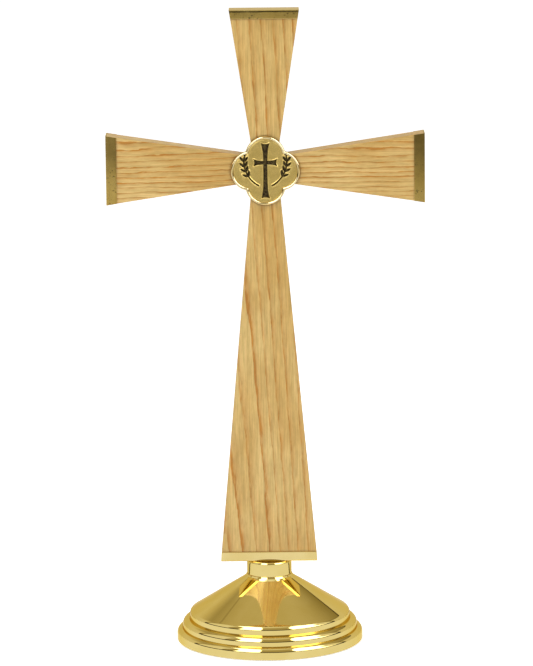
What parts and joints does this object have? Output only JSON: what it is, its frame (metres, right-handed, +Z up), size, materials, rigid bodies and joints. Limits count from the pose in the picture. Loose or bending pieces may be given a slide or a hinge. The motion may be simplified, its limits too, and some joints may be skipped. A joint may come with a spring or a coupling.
{
  "type": "altar cross",
  "caption": "Standing altar cross: flared oak upright and crossbar with folded brass end caps, a quatrefoil medallion at the crossing, on a stepped round polished brass base.",
  "frame": {"origin": "middle of the base, on the table surface that the felt rests on", "axes": "+Z up along the upright, +X to the right along the crossbar as seen from the front, +Y to the back; the medallion faces -Y"},
  "size_m": [0.2384, 0.1414, 0.482],
  "materials": {
    "oak": "clear satin lacquer over light oak",
    "cap_brass": "polished sheet, slightly dulled",
    "medallion_brass": "satin cast field with polished rim and dark patina in the recesses",
    "base_brass": "mirror polished and lacquered",
    "insert_brass": "as turned",
    "grey_iron": "as cast, dark",
    "zinc_steel": "zinc plated",
    "hardboard": "pressed brown hardboard",
    "felt": "dark green wool felt"
  },
  "bodies": {
    "root": {"upright": "oak", "crossbar": "oak", "top_cap": "cap_brass", "left_cap": "cap_brass", "right_cap": "cap_brass", "bottom_cap": "cap_brass", "medallion": "medallion_brass", "medallion_studs": "medallion_brass", "neck_collar": "base_brass", "base_shell": "base_brass", "base_weight": "grey_iron", "tie_rod": "zinc_steel", "threaded_insert": "insert_brass", "rod_nut": "zinc_steel", "lock_washer": "zinc_steel", "flat_washer": "zinc_steel", "bottom_board": "hardboard", "felt_pad": "felt"}
  },
  "joints": []
}
